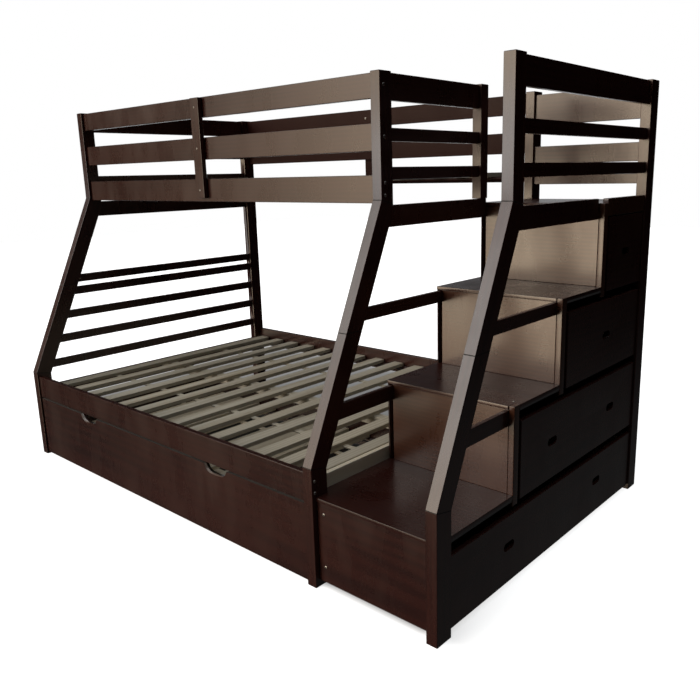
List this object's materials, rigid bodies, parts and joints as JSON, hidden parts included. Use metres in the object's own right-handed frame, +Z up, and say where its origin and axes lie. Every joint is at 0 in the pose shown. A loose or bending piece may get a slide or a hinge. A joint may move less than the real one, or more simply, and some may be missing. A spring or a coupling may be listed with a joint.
{
  "type": "bunk bed with staircase",
  "caption": "Bunk bed with a narrow bunk over a wider one, railed end frames, a staircase with drawers at the right end and a roll-out trundle under the lower bed.",
  "frame": {"origin": "middle of the bed's footprint, on the floor", "axes": "+Z up, -Y towards the side the lower bed and its trundle open to, +X towards the staircase's drawers"},
  "size_m": [2.537, 1.482, 1.706],
  "materials": {
    "espresso_lacquer": "dark brown stain under semi-gloss lacquer",
    "pine": "planed pine without lacquer",
    "caster_black": "moulded, matt"
  },
  "bodies": {
    "bed": {"back_bunk_rail": "espresso_lacquer", "back_guard_middle": "espresso_lacquer", "back_guard_top": "espresso_lacquer", "front_batten": "espresso_lacquer", "front_bunk_rail": "espresso_lacquer", "front_guard_middle": "espresso_lacquer", "front_guard_top": "espresso_lacquer", "left_back_post": "espresso_lacquer", "left_bunk_rail": "espresso_lacquer", "left_end_rail": "espresso_lacquer", "left_front_leg": "espresso_lacquer", "left_guard_rail_high": "espresso_lacquer", "left_guard_rail_low": "espresso_lacquer", "left_top_rail": "espresso_lacquer", "lower_back_rail": "espresso_lacquer", "lower_beam": "pine", "lower_end_rail": "pine", "lower_front_rail": "espresso_lacquer", "lower_slats": "pine", "middle_back_post": "espresso_lacquer", "middle_bunk_rail": "espresso_lacquer", "middle_entry_post": "espresso_lacquer", "middle_front_leg": "espresso_lacquer", "middle_guard_rail_high": "espresso_lacquer", "middle_guard_rail_low": "espresso_lacquer", "middle_hand_rail_high": "espresso_lacquer", "middle_hand_rail_low": "espresso_lacquer", "middle_top_rail": "espresso_lacquer", "outer_back_post": "espresso_lacquer", "outer_bunk_rail": "espresso_lacquer", "outer_front_leg": "espresso_lacquer", "outer_guard_rail_high": "espresso_lacquer", "outer_guard_rail_low": "espresso_lacquer", "outer_hand_rail_high": "espresso_lacquer", "outer_hand_rail_low": "espresso_lacquer", "outer_top_rail": "espresso_lacquer", "riser_2": "espresso_lacquer", "riser_3": "espresso_lacquer", "riser_4": "espresso_lacquer", "stair_back_panel": "espresso_lacquer", "stair_front_panel": "espresso_lacquer", "stair_guard_low": "espresso_lacquer", "stair_guard_middle": "espresso_lacquer", "stair_guard_top": "espresso_lacquer", "stair_side_panel": "espresso_lacquer", "tread_1": "espresso_lacquer", "tread_2": "espresso_lacquer", "tread_3": "espresso_lacquer", "tread_4": "espresso_lacquer", "upper_slats": "pine"},
    "trundle": {"trundle_base": "espresso_lacquer", "trundle_slats": "pine"},
    "drawer_1": {"drawer_1": "espresso_lacquer"},
    "drawer_2": {"drawer_2": "espresso_lacquer"},
    "drawer_3": {"drawer_3": "espresso_lacquer"},
    "drawer_4": {"drawer_4": "espresso_lacquer"},
    "wheel_left_front": {"wheel_left_front": "caster_black"},
    "wheel_right_front": {"wheel_right_front": "caster_black"},
    "wheel_left_back": {"wheel_left_back": "caster_black"},
    "wheel_right_back": {"wheel_right_back": "caster_black"}
  },
  "joints": [
    {"name": "drawer_1_slide", "type": "slide", "parent": "bed", "child": "drawer_1", "axis": [1, 0, 0], "range_m": [0, 0.38]},
    {"name": "drawer_2_slide", "type": "slide", "parent": "bed", "child": "drawer_2", "axis": [1, 0, 0], "range_m": [0, 0.38]},
    {"name": "drawer_3_slide", "type": "slide", "parent": "bed", "child": "drawer_3", "axis": [1, 0, 0], "range_m": [0, 0.38]},
    {"name": "drawer_4_slide", "type": "slide", "parent": "bed", "child": "drawer_4", "axis": [1, 0, 0], "range_m": [0, 0.38]},
    {"name": "trundle_slide", "type": "slide", "parent": "bed", "child": "trundle", "axis": [0, -1, 0], "range_m": [0, 0.95]},
    {"name": "wheel_left_front_spin", "type": "hinge", "parent": "trundle", "child": "wheel_left_front", "pos_m": [-1.1705, -0.581, 0.028], "axis": [1, 0, 0], "continuous": true},
    {"name": "wheel_right_front_spin", "type": "hinge", "parent": "trundle", "child": "wheel_right_front", "pos_m": [0.6615, -0.581, 0.028], "axis": [1, 0, 0], "continuous": true},
    {"name": "wheel_left_back_spin", "type": "hinge", "parent": "trundle", "child": "wheel_left_back", "pos_m": [-1.1705, 0.159, 0.028], "axis": [1, 0, 0], "continuous": true},
    {"name": "wheel_right_back_spin", "type": "hinge", "parent": "trundle", "child": "wheel_right_back", "pos_m": [0.6615, 0.159, 0.028], "axis": [1, 0, 0], "continuous": true}
  ],
  "couplings": [
    {"joint": "wheel_left_front_spin", "follows": "trundle_slide", "rad_per_m": 35.714},
    {"joint": "wheel_right_front_spin", "follows": "trundle_slide", "rad_per_m": 35.714},
    {"joint": "wheel_left_back_spin", "follows": "trundle_slide", "rad_per_m": 35.714},
    {"joint": "wheel_right_back_spin", "follows": "trundle_slide", "rad_per_m": 35.714}
  ]
}
